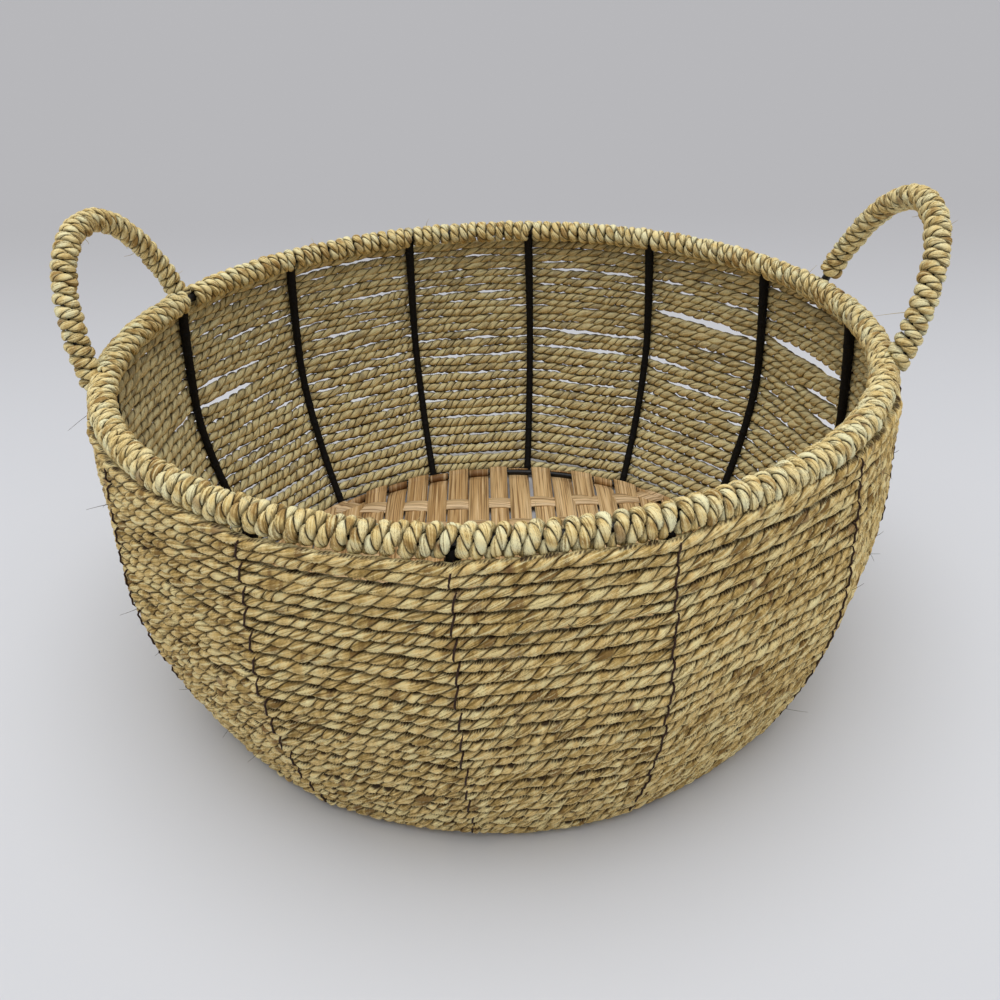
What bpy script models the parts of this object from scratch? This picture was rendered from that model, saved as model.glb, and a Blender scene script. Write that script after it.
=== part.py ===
"""A round belly basket on a wire frame, with two fixed loop handles.

Fourteen ribs stand between a base ring and a rim ring. One long rope is wound round them to make
the wall, a thread at each rib holds its turns, cord is wrapped round the rim ring and the handles,
and a mat of flat strips lies on the base ring with its edge folded round it.
Metres, +Z up. The origin is on the floor under the middle of the basket, and the handles stand at -X and +X.
"""

import math

import bmesh
import bpy
import numpy as np
from mathutils import Matrix, Vector

# Frame of black wire
RIM_RADIUS = 0.190
RIM_HEIGHT = 0.1674
RIM_WIRE = 0.005
BASE_RADIUS = 0.165
BASE_WIRE = 0.004
BELLY_RADIUS = 0.1931
BELLY_HEIGHT_SHARE = 0.6
LOWER_BULGE_POWER = 1.67
UPPER_BULGE_POWER = 2.0
RIB_WIRE = 0.004
RIB_COUNT = 14
FIRST_RIB_DEG = 85.1
RIB_SHIFT_SHARES = (-0.04, -0.09, -0.10, -0.06, 0.0, 0.09, 0.15, 0.09, 0.01, 0.15, 0.05, -0.04, -0.04, -0.02)

# Wall rope and the threads that hold it to the ribs
ROPE_THICK = 0.0058
ROPE_GAP = 0.0008
WALL_FOOT_GAP = 0.0024
THREAD_THICK = 0.0012
STITCH_SLANT = 0.0006
HOOK_BEND_DEG = 45
HOOK_TUCK_DEG = 105

# Cord wrapped round the rim
RIM_CORD = 0.0038
RIM_BORE_GAP = 0.0006
RIB_SLOT_GAP = 0.0008
SHORTEST_WRAP = 0.006

# Loop handles and the cord wound round them
HANDLE_WIRE = 0.0045
HANDLE_SPAN = 0.114
HANDLE_RISE = 0.0649
HANDLE_FOOT = 0.0045
HANDLE_CURVE_POWER = 2.12
HANDLE_SETBACK_DEG = 3.65
LEFT_LEAN_DEG = 17.5
RIGHT_LEAN_DEG = 21.8
HANDLE_CORD = 0.0044
HANDLE_LOOPS = 24

# Mat of flat strips
MAT_THICK = 0.0010
HEM_FOLD = 0.0056

# Room between pieces that touch, and how far a cutter overruns
SEAT_GAP = 0.0003
CUT_OVERRUN = 0.002
WELD_DISTANCE = 0.00003

# How finely round shapes are divided
RIM_STEPS = 56
BASE_STEPS = 42
RIB_STEPS = 6
WRAP_STEP_DEG = 7.0
BAY_STEPS = 4
STITCH_RUNS = 9
HANDLE_STEPS = 22
LOOP_STEPS = 8
LINE_SAMPLES = 400
GAP_SAMPLES = 6
TUBE_ROUNDING = 1
TUBE_SIDES = 4 + 2 * TUBE_ROUNDING
THREAD_ROUNDING = 0

BASE_RING_HEIGHT = MAT_THICK + SEAT_GAP + BASE_WIRE / 2
MAT_TOP = BASE_RING_HEIGHT + BASE_WIRE / 2 + SEAT_GAP + MAT_THICK
HEM_OUTER = BASE_RADIUS + BASE_WIRE / 2 + SEAT_GAP + MAT_THICK
RIM_BORE = RIM_WIRE / 2 + RIM_BORE_GAP
RIM_ROLL = RIM_BORE + RIM_CORD
RIB_STEP_DEG = 360 / RIB_COUNT


def clear_scene():
    for old in list(bpy.data.objects):
        bpy.data.objects.remove(old, do_unlink=True)


def finish(name, colour, roughness, metallic=0.0):
    """A plain material of one colour, made once and shared by like pieces."""
    found = bpy.data.materials.get(name)
    if found:
        return found
    made = bpy.data.materials.new(name)
    made.use_nodes = True
    shader = made.node_tree.nodes["Principled BSDF"]
    shader.inputs["Base Color"].default_value = (*colour, 1.0)
    shader.inputs["Roughness"].default_value = roughness
    shader.inputs["Metallic"].default_value = metallic
    made.diffuse_color = (*colour, 1.0)
    return made


def black_wire():
    return finish("black_wire", (0.012, 0.011, 0.011), 0.45, 0.6)


def wall_seagrass():
    return finish("wall_seagrass", (0.36, 0.27, 0.12), 0.75)


def wrap_seagrass():
    return finish("wrap_seagrass", (0.50, 0.41, 0.21), 0.7)


def stitch_thread():
    return finish("stitch_thread", (0.03, 0.02, 0.014), 0.85)


def flat_strip():
    return finish("flat_strip", (0.47, 0.31, 0.16), 0.6)


def tube(name, points, thick, material, closed_ring=False, capped=True, rounding=TUBE_ROUNDING, level=True):
    """A round bar along points, as a curve with a bevel. A bar that stands upright anywhere isn't level, and takes
    the twist that turns its corners least."""
    line = bpy.data.curves.new(name, "CURVE")
    line.dimensions = "3D"
    line.twist_mode = "Z_UP" if level else "MINIMUM"
    line.bevel_depth = thick / 2
    line.bevel_resolution = rounding
    line.use_fill_caps = capped and not closed_ring
    spline = line.splines.new("POLY")
    spline.points.add(len(points) - 1)
    for place, point in zip(spline.points, points):
        place.co = (*point, 1.0)
    spline.use_cyclic_u = closed_ring
    line.materials.append(material)
    bar = bpy.data.objects.new(name, line)
    bpy.context.collection.objects.link(bar)
    return bar


def round_place(radius, turn_deg, height):
    """A point at this radius, angle and height."""
    turn = math.radians(turn_deg)
    return Vector((radius * math.cos(turn), radius * math.sin(turn), height))


def ring(name, radius, height, thick, steps):
    points = [round_place(radius, 360 * step / steps, height) for step in range(steps)]
    return tube(name, points, thick, black_wire(), closed_ring=True)


def rib_angle(number):
    """Degrees round the basket of rib number 0, 1, 2 and so on, with its small hand-set shift."""
    shift = RIB_SHIFT_SHARES[number % len(RIB_SHIFT_SHARES)]
    return FIRST_RIB_DEG + RIB_STEP_DEG * (number + shift)


def rib_radius(height):
    """The rib's middle line: out from the base ring to the belly, then in again under the rim ring."""
    belly_height = BASE_RING_HEIGHT + BELLY_HEIGHT_SHARE * (RIM_HEIGHT - BASE_RING_HEIGHT)
    if height <= belly_height:
        below = (belly_height - height) / (belly_height - BASE_RING_HEIGHT)
        return BELLY_RADIUS - (BELLY_RADIUS - BASE_RADIUS) * below**LOWER_BULGE_POWER
    above = (height - belly_height) / (RIM_HEIGHT - belly_height)
    return BELLY_RADIUS - (BELLY_RADIUS - RIM_RADIUS + RIB_WIRE / 2) * above**UPPER_BULGE_POWER


def rib_line():
    """Samples of the rib's line, and the outward direction square to it at each."""
    heights = np.linspace(BASE_RING_HEIGHT, RIM_HEIGHT, LINE_SAMPLES)
    line = np.array([(rib_radius(height), height) for height in heights])
    along = np.gradient(line, axis=0)
    along /= np.linalg.norm(along, axis=1)[:, None]
    outward = np.stack([along[:, 1], -along[:, 0]], axis=1)
    return line, along, outward


def wall_line():
    """The line that the rope's middle follows at a rib: a table of length along it, place, and the directions
    out of the wall and up it."""
    line, along, outward = rib_line()
    corner = math.cos(math.radians(RIB_STEP_DEG / 2))
    middle = line + outward * (RIB_WIRE / 2 + ROPE_THICK / 2 + SEAT_GAP) / corner
    length = np.concatenate([[0.0], np.cumsum(np.linalg.norm(np.diff(middle, axis=0), axis=1))])
    return length, middle, outward, along


class Wall:
    """Where the wall rope runs, in length up the wall."""

    def __init__(self):
        self.length, self.middle, self.outward, self.along = wall_line()
        foot = WALL_FOOT_GAP + ROPE_THICK / 2
        self.foot = float(np.interp(foot, self.middle[:, 1], self.length))
        to_rim = np.linalg.norm(self.middle - (RIM_RADIUS, RIM_HEIGHT), axis=1)
        clear = to_rim >= RIM_ROLL + ROPE_THICK / 2 + SEAT_GAP
        self.top = float(self.length[clear].max())
        self.loops = int((self.top - self.foot) / (ROPE_THICK + ROPE_GAP))
        self.pitch = (self.top - self.foot) / self.loops

    def read(self, table, length):
        return np.array([np.interp(length, self.length, column) for column in table.T])

    def place(self, length, out=0.0, up=0.0):
        """Radius and height at this length up the wall, moved out of it and up along it."""
        middle = self.read(self.middle, length)
        return middle + out * self.read(self.outward, length) + up * self.read(self.along, length)


def rope_points(wall):
    """One winding from the foot of the wall to its top. It runs straight from rib to rib, and bows round the
    mat's folded edge where a straight run would cut through that."""
    half_step = math.radians(RIB_STEP_DEG / BAY_STEPS / 2)
    round_edge = (HEM_OUTER + SEAT_GAP + ROPE_THICK / 2) / math.cos(half_step)
    corners = []
    for number in range(wall.loops * RIB_COUNT + 1):
        radius, height = wall.place(wall.foot + wall.pitch * number / RIB_COUNT)
        turn = rib_angle(number % RIB_COUNT) + 360 * (number // RIB_COUNT)
        corners.append(round_place(radius, turn, height))
    points = [corners[0]]
    for start, end in zip(corners, corners[1:]):
        for step in range(1, BAY_STEPS):
            point = start.lerp(end, step / BAY_STEPS)
            level = point.z - ROPE_THICK / 2 < MAT_TOP + SEAT_GAP
            if level and point.xy.length < round_edge:
                point.xy = point.xy.normalized() * round_edge
                points.append(point)
        points.append(end)
    return points


def least_gap(points, thick, loop_length):
    """The least room between a winding's own turns, over points along it that are half a loop apart or more."""
    ends = np.array([tuple(point) for point in points])
    shares = np.arange(GAP_SAMPLES)[None, :, None] / GAP_SAMPLES
    fine = (ends[:-1, None] * (1 - shares) + ends[1:, None] * shares).reshape(-1, 3)
    run = np.concatenate([[0.0], np.cumsum(np.linalg.norm(np.diff(fine, axis=0), axis=1))])
    least = math.inf
    for place, at in zip(fine, run):
        far = run > at + loop_length / 2
        if far.any():
            least = min(least, float(np.linalg.norm(fine[far] - place, axis=1).min()))
    return least - thick


def make_wall_rope(wall):
    points = rope_points(wall)
    tube("wall_rope", points, ROPE_THICK, wall_seagrass())
    gap = least_gap(points, ROPE_THICK, 2 * math.pi * BASE_RADIUS)
    print(f"wall_rope: {wall.loops} loops, least gap to itself {gap * 1000:.2f} mm")


def make_ribs():
    """Each rib is welded on top of the base ring and under the rim ring."""
    slope = math.atan2(rib_radius(BASE_RING_HEIGHT + RIB_WIRE) - BASE_RADIUS, RIB_WIRE)
    low = BASE_RING_HEIGHT + (BASE_WIRE / 2 + SEAT_GAP) * math.cos(slope)
    high = RIM_HEIGHT - RIM_WIRE / 2 - SEAT_GAP
    for number in range(RIB_COUNT):
        heights = [low + (high - low) * step / RIB_STEPS for step in range(RIB_STEPS + 1)]
        points = [round_place(rib_radius(height), rib_angle(number), height) for height in heights]
        tube(f"rib_{number + 1:02d}", points, RIB_WIRE, black_wire(), level=False)


def make_threads(wall):
    """Each thread hooks under the lowest turn at its rib, runs up outside and hooks over the highest turn."""
    standing = ROPE_THICK / 2 + THREAD_THICK / 2 + SEAT_GAP
    hook = standing / math.cos(math.radians(HOOK_BEND_DEG / 2))
    tuck, bend = math.radians(HOOK_TUCK_DEG), math.radians(HOOK_BEND_DEG)
    for number in range(RIB_COUNT):
        first = wall.foot + wall.pitch * number / RIB_COUNT
        last = first + wall.pitch * (wall.loops - 1)
        if number == 0:
            last += wall.pitch
        flat = [wall.place(first, hook * math.cos(turn), hook * math.sin(turn)) for turn in (-tuck, -bend)]
        for run in range(STITCH_RUNS + 1):
            flat.append(wall.place(first + (last - first) * run / STITCH_RUNS, standing))
        flat += [wall.place(last, hook * math.cos(turn), hook * math.sin(turn)) for turn in (bend, tuck)]
        across = round_place(STITCH_SLANT, rib_angle(number) + 90, 0)
        points = []
        for step, (radius, height) in enumerate(flat):
            points.append(round_place(radius, rib_angle(number), height) + across * (-1) ** step)
        name = f"stitch_thread_{number + 1:02d}"
        tube(name, points, THREAD_THICK, stitch_thread(), rounding=THREAD_ROUNDING, level=False)


class Handle:
    """One wire loop that stands on the outside of the rim ring and leans outwards."""

    def __init__(self, name, middle_deg, lean_deg):
        self.name = name
        turn, lean = math.radians(middle_deg), math.radians(lean_deg)
        outward = Vector((math.cos(turn), math.sin(turn), 0))
        self.side = Vector((-math.sin(turn), math.cos(turn), 0))
        self.up = outward * math.sin(lean) + Vector((0, 0, math.cos(lean)))
        self.face = self.side.cross(self.up)
        self.weld = RIM_RADIUS + (RIM_WIRE / 2 + HANDLE_WIRE / 2 + 2 * SEAT_GAP) / math.cos(lean)
        half = HANDLE_SPAN / 2
        self.middle = outward * math.sqrt(self.weld**2 - half**2) + Vector((0, 0, RIM_HEIGHT))
        spread = math.degrees(math.asin(half / self.weld))
        self.foot_degs = (middle_deg - spread, middle_deg + spread)

    def loop(self):
        """Fine points along the wire from foot to foot, and the length at each."""
        turns = np.linspace(0, math.pi, LINE_SAMPLES)
        share = 2 / HANDLE_CURVE_POWER
        sideways = -HANDLE_SPAN / 2 * np.sign(np.cos(turns)) * np.abs(np.cos(turns)) ** share
        upwards = HANDLE_RISE * np.abs(np.sin(turns)) ** share
        sideways = np.concatenate([sideways[:1], sideways, sideways[-1:]])
        upwards = np.concatenate([[-HANDLE_FOOT], upwards, [-HANDLE_FOOT]])
        flat = np.stack([sideways, upwards], axis=1)
        length = np.concatenate([[0.0], np.cumsum(np.linalg.norm(np.diff(flat, axis=0), axis=1))])
        return length, flat

    def place(self, flat):
        return self.middle + self.side * float(flat[0]) + self.up * float(flat[1])


def read_line(length, flat, at):
    return np.array([np.interp(at, length, column) for column in flat.T])


def make_handle(handle):
    """The wire, and the cord wound round it from just above the rim on one side to the other."""
    length, flat = handle.loop()
    whole = float(length[-1])
    stops = [whole * step / HANDLE_STEPS for step in range(HANDLE_STEPS + 1)]
    points = [handle.place(read_line(length, flat, stop)) for stop in stops]
    tube(f"handle_wire_{handle.name}", points, HANDLE_WIRE, black_wire(), level=False)

    coil = (HANDLE_WIRE / 2 + HANDLE_CORD / 2 + SEAT_GAP) / math.cos(math.pi / LOOP_STEPS)
    start = HANDLE_FOOT + RIM_ROLL + HANDLE_CORD / 2
    count = HANDLE_LOOPS * LOOP_STEPS
    reach = HANDLE_CORD
    turns = []
    for step in range(count + 1):
        at = start + (whole - 2 * start) * step / count
        here = read_line(length, flat, at)
        ahead = read_line(length, flat, at + reach) - read_line(length, flat, at - reach)
        ahead /= np.linalg.norm(ahead)
        inward = handle.side * float(-ahead[1]) + handle.up * float(ahead[0])
        turn = 2 * math.pi * step / LOOP_STEPS
        turns.append(handle.place(here) + coil * (inward * math.cos(turn) + handle.face * math.sin(turn)))
    turns.insert(0, turns[0] + (turns[0] - turns[1]).normalized() * HANDLE_CORD)
    turns.append(turns[-1] + (turns[-1] - turns[-2]).normalized() * HANDLE_CORD)
    tube(f"handle_wrap_{handle.name}", turns, HANDLE_CORD, wrap_seagrass(), level=False)
    gap = least_gap(turns, HANDLE_CORD, 2 * math.pi * coil)
    print(f"handle_wrap_{handle.name}: {HANDLE_LOOPS} loops, least gap to itself {gap * 1000:.2f} mm")


def make_rim_wraps(handles):
    """Sleeves of wrapped cord round the rim ring, with a slot between them at each rib and handle foot."""
    slots = [(rib_angle(number) % 360, RIB_WIRE / 2 + RIB_SLOT_GAP) for number in range(RIB_COUNT)]
    for handle in handles:
        slots += [(foot % 360, HANDLE_WIRE / 2 + RIB_SLOT_GAP) for foot in handle.foot_degs]
    slots.sort()
    number = 0
    for (before, half_before), (after, half_after) in zip(slots, slots[1:] + slots[:1]):
        start = before + math.degrees(half_before / RIM_RADIUS)
        end = (after - before) % 360 + before - math.degrees(half_after / RIM_RADIUS)
        if math.radians(end - start) * RIM_RADIUS < SHORTEST_WRAP:
            continue
        number += 1
        steps = max(2, math.ceil((end - start) / WRAP_STEP_DEG))
        turns = [start + (end - start) * step / steps for step in range(steps + 1)]
        points = [round_place(RIM_RADIUS, turn, RIM_HEIGHT) for turn in turns]
        sleeve = tube(f"rim_wrap_{number:02d}", points, 2 * RIM_ROLL, wrap_seagrass(), capped=False)
        wall = sleeve.modifiers.new("wall", "SOLIDIFY")
        wall.thickness = RIM_CORD * math.cos(math.pi / TUBE_SIDES)
        wall.offset = -1
        wall.use_even_offset = True


def mesh_object(name, body, material):
    mesh = bpy.data.meshes.new(name)
    bmesh.ops.recalc_face_normals(body, faces=body.faces)
    body.to_mesh(mesh)
    body.free()
    made = bpy.data.objects.new(name, mesh)
    if material:
        mesh.materials.append(material)
    bpy.context.collection.objects.link(made)
    return made


def make_mat():
    """A round mat, its edge folded down round the base ring and back under it, with a notch for each rib."""
    body = bmesh.new()
    under = MAT_TOP - MAT_THICK
    inside = HEM_OUTER - MAT_THICK
    fold = HEM_OUTER - HEM_FOLD
    profile = ((0, MAT_TOP), (HEM_OUTER, MAT_TOP), (HEM_OUTER, 0), (fold, 0), (fold, MAT_THICK))
    profile += ((inside, MAT_THICK), (inside, under), (0, under))
    corners = [body.verts.new((radius, 0, height)) for radius, height in profile]
    edges = [body.edges.new(pair) for pair in zip(corners, corners[1:])]
    round_z = {"cent": (0, 0, 0), "axis": (0, 0, 1), "angle": 2 * math.pi}
    bmesh.ops.spin(body, geom=corners + edges, steps=BASE_STEPS, use_merge=True, **round_z)
    bmesh.ops.remove_doubles(body, verts=body.verts, dist=WELD_DISTANCE)
    mat = mesh_object("base_mat", body, flat_strip())
    mat.data.shade_flat()

    notches = bmesh.new()
    inner = BASE_RADIUS - RIB_WIRE / 2 - SEAT_GAP
    outer = HEM_OUTER + CUT_OVERRUN
    top = MAT_TOP + CUT_OVERRUN
    size = (outer - inner, RIB_WIRE + 2 * SEAT_GAP, top - BASE_RING_HEIGHT)
    middle = Vector(((inner + outer) / 2, 0, (top + BASE_RING_HEIGHT) / 2))
    for number in range(RIB_COUNT):
        turn = Matrix.Rotation(math.radians(rib_angle(number)), 4, "Z")
        place = turn @ Matrix.Translation(middle) @ Matrix.Diagonal((*size, 1))
        bmesh.ops.create_cube(notches, size=1, matrix=place)
    cutter = mesh_object("notch_cutter", notches, None)
    cutter.hide_render = True
    cutter.display_type = "WIRE"
    cut = mat.modifiers.new("notches", "BOOLEAN")
    cut.operation = "DIFFERENCE"
    cut.solver = "EXACT"
    cut.object = cutter


def main():
    clear_scene()
    ring("rim_ring", RIM_RADIUS, RIM_HEIGHT, RIM_WIRE, RIM_STEPS)
    ring("base_ring", BASE_RADIUS, BASE_RING_HEIGHT, BASE_WIRE, BASE_STEPS)
    make_ribs()
    make_mat()
    wall = Wall()
    make_wall_rope(wall)
    make_threads(wall)
    handles = (
        Handle("left", 180 - HANDLE_SETBACK_DEG, LEFT_LEAN_DEG),
        Handle("right", HANDLE_SETBACK_DEG, RIGHT_LEAN_DEG),
    )
    for handle in handles:
        make_handle(handle)
    make_rim_wraps(handles)


main()
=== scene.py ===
import math

import bmesh
import bpy
import numpy as np
from mathutils import Matrix, Vector


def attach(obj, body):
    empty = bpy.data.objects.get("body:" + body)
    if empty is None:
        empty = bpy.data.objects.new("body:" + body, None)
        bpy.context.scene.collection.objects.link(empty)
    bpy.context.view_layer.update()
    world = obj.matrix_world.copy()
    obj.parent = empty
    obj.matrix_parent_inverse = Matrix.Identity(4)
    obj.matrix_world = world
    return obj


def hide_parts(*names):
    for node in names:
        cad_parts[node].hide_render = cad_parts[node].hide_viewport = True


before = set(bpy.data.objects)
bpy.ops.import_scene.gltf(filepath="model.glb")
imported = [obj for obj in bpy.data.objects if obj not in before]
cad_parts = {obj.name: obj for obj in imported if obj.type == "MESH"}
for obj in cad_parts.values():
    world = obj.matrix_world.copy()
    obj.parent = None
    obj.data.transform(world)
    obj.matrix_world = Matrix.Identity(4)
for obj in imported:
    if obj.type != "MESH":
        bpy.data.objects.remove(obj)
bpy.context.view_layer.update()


# Rings: the rim ring and the smaller ring under the floor's edge. Black coated wire, bent round and butt
# welded. All other pieces hang on these two, so their sizes come first.

RIM_RADIUS = 0.190
RIM_HEIGHT = 0.1674
RIM_WIRE = 0.005
BASE_RADIUS = 0.1575
BASE_RING_HEIGHT = 0.0033
BASE_WIRE = 0.004
BASE_SHIFT = (-0.0004, -0.0078)     # the base ring sits a little towards the front
RING_STEP_DEG = 2.5


def dye(red, green, blue):
    """A colour as a screen shows it, 0 to 255, made the linear colour that a material wants."""
    parts = [part / 255 for part in (red, green, blue)]
    return [part / 12.92 if part <= 0.04045 else ((part + 0.055) / 1.055) ** 2.4 for part in parts] + [1.0]


class Number:
    """A number worked out over a surface. Sums and products of Numbers add Math nodes to the finish."""

    def __init__(self, finish, socket):
        self.finish = finish
        self.socket = socket

    def math(self, operation, other):
        return self.finish.node("ShaderNodeMath", {"operation": operation}, {0: self, 1: other})

    def __add__(self, other):
        return self.math("ADD", other)

    def __mul__(self, other):
        return self.math("MULTIPLY", other)

    __radd__ = __add__
    __rmul__ = __mul__

    def step(self, low, high, start=0.0, end=1.0):
        """Runs smoothly from start to end while the number runs from low to high."""
        return self.finish.node("ShaderNodeMapRange", {"interpolation_type": "SMOOTHSTEP"},
                                {0: self, 1: low, 2: high, 3: start, 4: end})


class Finish:
    """A material being made, with one Principled surface."""

    def __init__(self, name, roughness, specular):
        self.made = bpy.data.materials.new(name)
        self.made.use_nodes = True
        self.nodes = self.made.node_tree.nodes
        self.links = self.made.node_tree.links
        self.surface = self.nodes["Principled BSDF"]
        self.surface.inputs["Roughness"].default_value = roughness
        self.surface.inputs["Specular IOR Level"].default_value = specular

    def put(self, socket, value):
        if isinstance(value, Number):
            self.links.new(value.socket, socket)
        else:
            socket.default_value = value

    def node(self, kind, settings=None, sockets=None, out=0):
        """Any node: its settings first, then the values or links of its sockets. out is the one used."""
        made = self.nodes.new(kind)
        for key, value in (settings or {}).items():
            if key == "stops":
                stops = made.color_ramp.elements
                while len(stops) < len(value):
                    stops.new(0.5)
                for stop, (place, colour) in zip(stops, value):
                    stop.position = place
                    stop.color = colour
            else:
                setattr(made, key, value)
        for key, value in (sockets or {}).items():
            self.put(made.inputs[key], value)
        return Number(self, made.outputs[out])

    def object_place(self):
        return self.node("ShaderNodeTexCoord", out="Object")

    def read(self, attribute, out="Fac"):
        """What the mesh keeps for each of its points under this name."""
        return self.node("ShaderNodeAttribute", {"attribute_name": attribute}, out=out)

    def noise(self, vector, scale=1.0, detail=2.0, roughness=0.5):
        return self.node("ShaderNodeTexNoise", {},
                         {"Vector": vector, "Scale": scale, "Detail": detail, "Roughness": roughness})

    def stretch(self, vector, sizes, shift=(0, 0, 0)):
        return self.node("ShaderNodeMapping", {}, {"Vector": vector, "Location": shift, "Scale": sizes})

    def mix(self, amount, first, second):
        return self.node("ShaderNodeMix", {"data_type": "RGBA"}, {0: amount, 6: first, 7: second}, out=2)

    def ramp(self, amount, stops):
        return self.node("ShaderNodeValToRGB", {"stops": stops}, {0: amount})

    def colour(self, value):
        self.put(self.surface.inputs["Base Color"], value)

    def rough(self, value):
        self.put(self.surface.inputs["Roughness"], value)

    def bump(self, height, distance):
        made = self.node("ShaderNodeBump", {}, {"Height": height, "Distance": distance, "Strength": 1.0})
        self.put(self.surface.inputs["Normal"], made)


coated = Finish("black_coated_wire", roughness=0.42, specular=0.4)
speck = coated.noise(coated.object_place(), 900.0)
coated.colour(coated.mix(speck.step(0.4, 0.75), dye(14, 13, 14), dye(34, 32, 32)))
coated.bump(speck, 0.00012)


def lean(height):
    """How far the basket's middle is shifted at this height: all the way at the base, none at the rim."""
    share = 1 - height / RIM_HEIGHT
    return np.stack([BASE_SHIFT[0] * share, BASE_SHIFT[1] * share], axis=-1)


def round_place(radius, turn_deg, height):
    """Points at these radii, angles and heights, round the basket's own middle at each height."""
    radius, turn, height = np.broadcast_arrays(radius, np.radians(turn_deg), height)
    shift = lean(height)
    across = radius * np.cos(turn) + shift[..., 0]
    deep = radius * np.sin(turn) + shift[..., 1]
    return np.stack([across, deep, height], axis=-1)


def round_bars(runs, thick, closed=False, sides=3, sizes=None):
    """Round bars along runs of points: a curve with a bevel, made a mesh. sizes thickens each point."""
    line = bpy.data.curves.new("bars", "CURVE")
    line.dimensions = "3D"
    line.twist_mode = "MINIMUM"
    line.bevel_depth = thick / 2
    line.bevel_resolution = sides
    line.use_fill_caps = not closed
    for points in runs:
        spline = line.splines.new("POLY")
        spline.points.add(len(points) - 1)
        spline.points.foreach_set("co", np.column_stack([points, np.ones(len(points))]).ravel())
        if sizes is not None:
            spline.points.foreach_set("radius", sizes)
        spline.use_cyclic_u = closed
    bar = bpy.data.objects.new("bars", line)
    mesh = bpy.data.meshes.new_from_object(bar)
    bpy.data.objects.remove(bar)
    bpy.data.curves.remove(line)
    return mesh


def place(name, data):
    made = bpy.data.objects.new(name, data)
    bpy.context.scene.collection.objects.link(made)
    return made


def wire(name, points, thick, finish, closed=False, sides=3, sizes=None):
    mesh = round_bars([points], thick, closed, sides, sizes)
    mesh.materials.append(finish.made)
    mesh.shade_smooth()
    return place(name, mesh)


def hand_over(piece, node):
    """The piece moves with the basket and stands for this solid, which is hidden."""
    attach(piece, "root")
    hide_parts(node)


for name, radius, height, thick in (
    ("rim_ring", RIM_RADIUS, RIM_HEIGHT, RIM_WIRE),
    ("base_ring", BASE_RADIUS, BASE_RING_HEIGHT, BASE_WIRE),
):
    line = round_place(radius, np.arange(0, 360, RING_STEP_DEG), height)
    ring = wire(name + "_wire", line, thick, coated, closed=True)
    hand_over(ring, name)


# Ribs: 14 bars of the same black wire, bent to the belly and welded between the two rings. Each is served
# with the dark thread that ties the wall to it, so it looks dull, and swells a little at each tie.

RIB_WIRE = 0.004
RIB_COUNT = 14
RIB_STEP_DEG = 360 / RIB_COUNT
FIRST_RIB_DEG = 85.1
# How far each rib stands from its even place, in shares of the step between two ribs.
RIB_SHIFT_SHARES = (-0.04, -0.09, -0.10, -0.06, 0.06, 0.09, 0.15,
                    0.09, 0.01, 0.15, 0.05, -0.04, -0.04, -0.02)
RIB_FOOT_RADIUS = BASE_RADIUS + BASE_WIRE / 2 + RIB_WIRE / 2     # the ribs stand outside the base ring
RIB_SAMPLES = 240
BELLY_RADIUS = 0.1931
BELLY_HEIGHT_SHARE = 0.6
LOWER_BULGE_POWER = 1.67
UPPER_BULGE_POWER = 2.0
THREAD_COVER = 0.0003          # how thick the thread lies on a rib
TOP_COVER = 0.0006             # how much thicker it lies at the rim
TOP_COVER_FROM = 0.100         # the height from which it thickens
TIES = 14                      # each holds two rows
TIE_LENGTH = 0.0010
TIE_STAGGER = 0.37             # how far the ties move down from rib to rib, in shares of their pitch
SERVING = 0.0003               # how much a tie adds


def rib_angle(number):
    """Degrees round the basket of rib 0, 1, 2 and so on. It keeps counting past a full turn."""
    shift = RIB_SHIFT_SHARES[number % RIB_COUNT]
    return FIRST_RIB_DEG + RIB_STEP_DEG * (number + shift)


def rib_radius(height):
    """The rib's middle line: out from the base ring to the belly, then in again under the rim ring."""
    belly_height = BASE_RING_HEIGHT + BELLY_HEIGHT_SHARE * (RIM_HEIGHT - BASE_RING_HEIGHT)
    below = np.clip((belly_height - height) / (belly_height - BASE_RING_HEIGHT), 0, None)
    above = np.clip((height - belly_height) / (RIM_HEIGHT - belly_height), 0, None)
    lower = BELLY_RADIUS - (BELLY_RADIUS - RIB_FOOT_RADIUS) * below**LOWER_BULGE_POWER
    return lower - (BELLY_RADIUS - RIM_RADIUS) * above**UPPER_BULGE_POWER


served = Finish("served_rib", roughness=0.65, specular=0.15)
served_fuzz = served.noise(served.object_place(), 1200.0, detail=3.0)
served.colour(served.ramp(served_fuzz, [(0.35, dye(6, 6, 7)), (0.75, dye(30, 27, 26))]))
served.bump(served_fuzz, 0.0002)

for number in range(RIB_COUNT):
    heights = np.linspace(BASE_RING_HEIGHT, RIM_HEIGHT - RIM_WIRE / 2, RIB_SAMPLES)
    near_rim = np.clip((heights - TOP_COVER_FROM) / (RIM_HEIGHT - TOP_COVER_FROM), 0, 1)
    tie_pitch = RIM_HEIGHT / TIES
    from_tie = np.abs((heights / tie_pitch + number * TIE_STAGGER) % 1 - 0.5) * tie_pitch
    tied = np.clip(1 - (from_tie / TIE_LENGTH) ** 4, 0, 1)
    cover = THREAD_COVER + TOP_COVER * near_rim + SERVING * tied
    sizes = (1 + cover * 2 / RIB_WIRE).astype(np.float32)
    line = round_place(rib_radius(heights), rib_angle(number), heights)
    rib = wire(f"rib_{number + 1:02d}_served", line, RIB_WIRE, served, sizes=sizes, sides=4)
    hand_over(rib, f"rib_{number + 1:02d}")


# Wall rope: one long two-ply rope of dry twisted grass, wound round the outside of the ribs in 28 rows. It
# is hand laid, so its thickness, its lay and the room between rows change from bay to bay.

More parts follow.
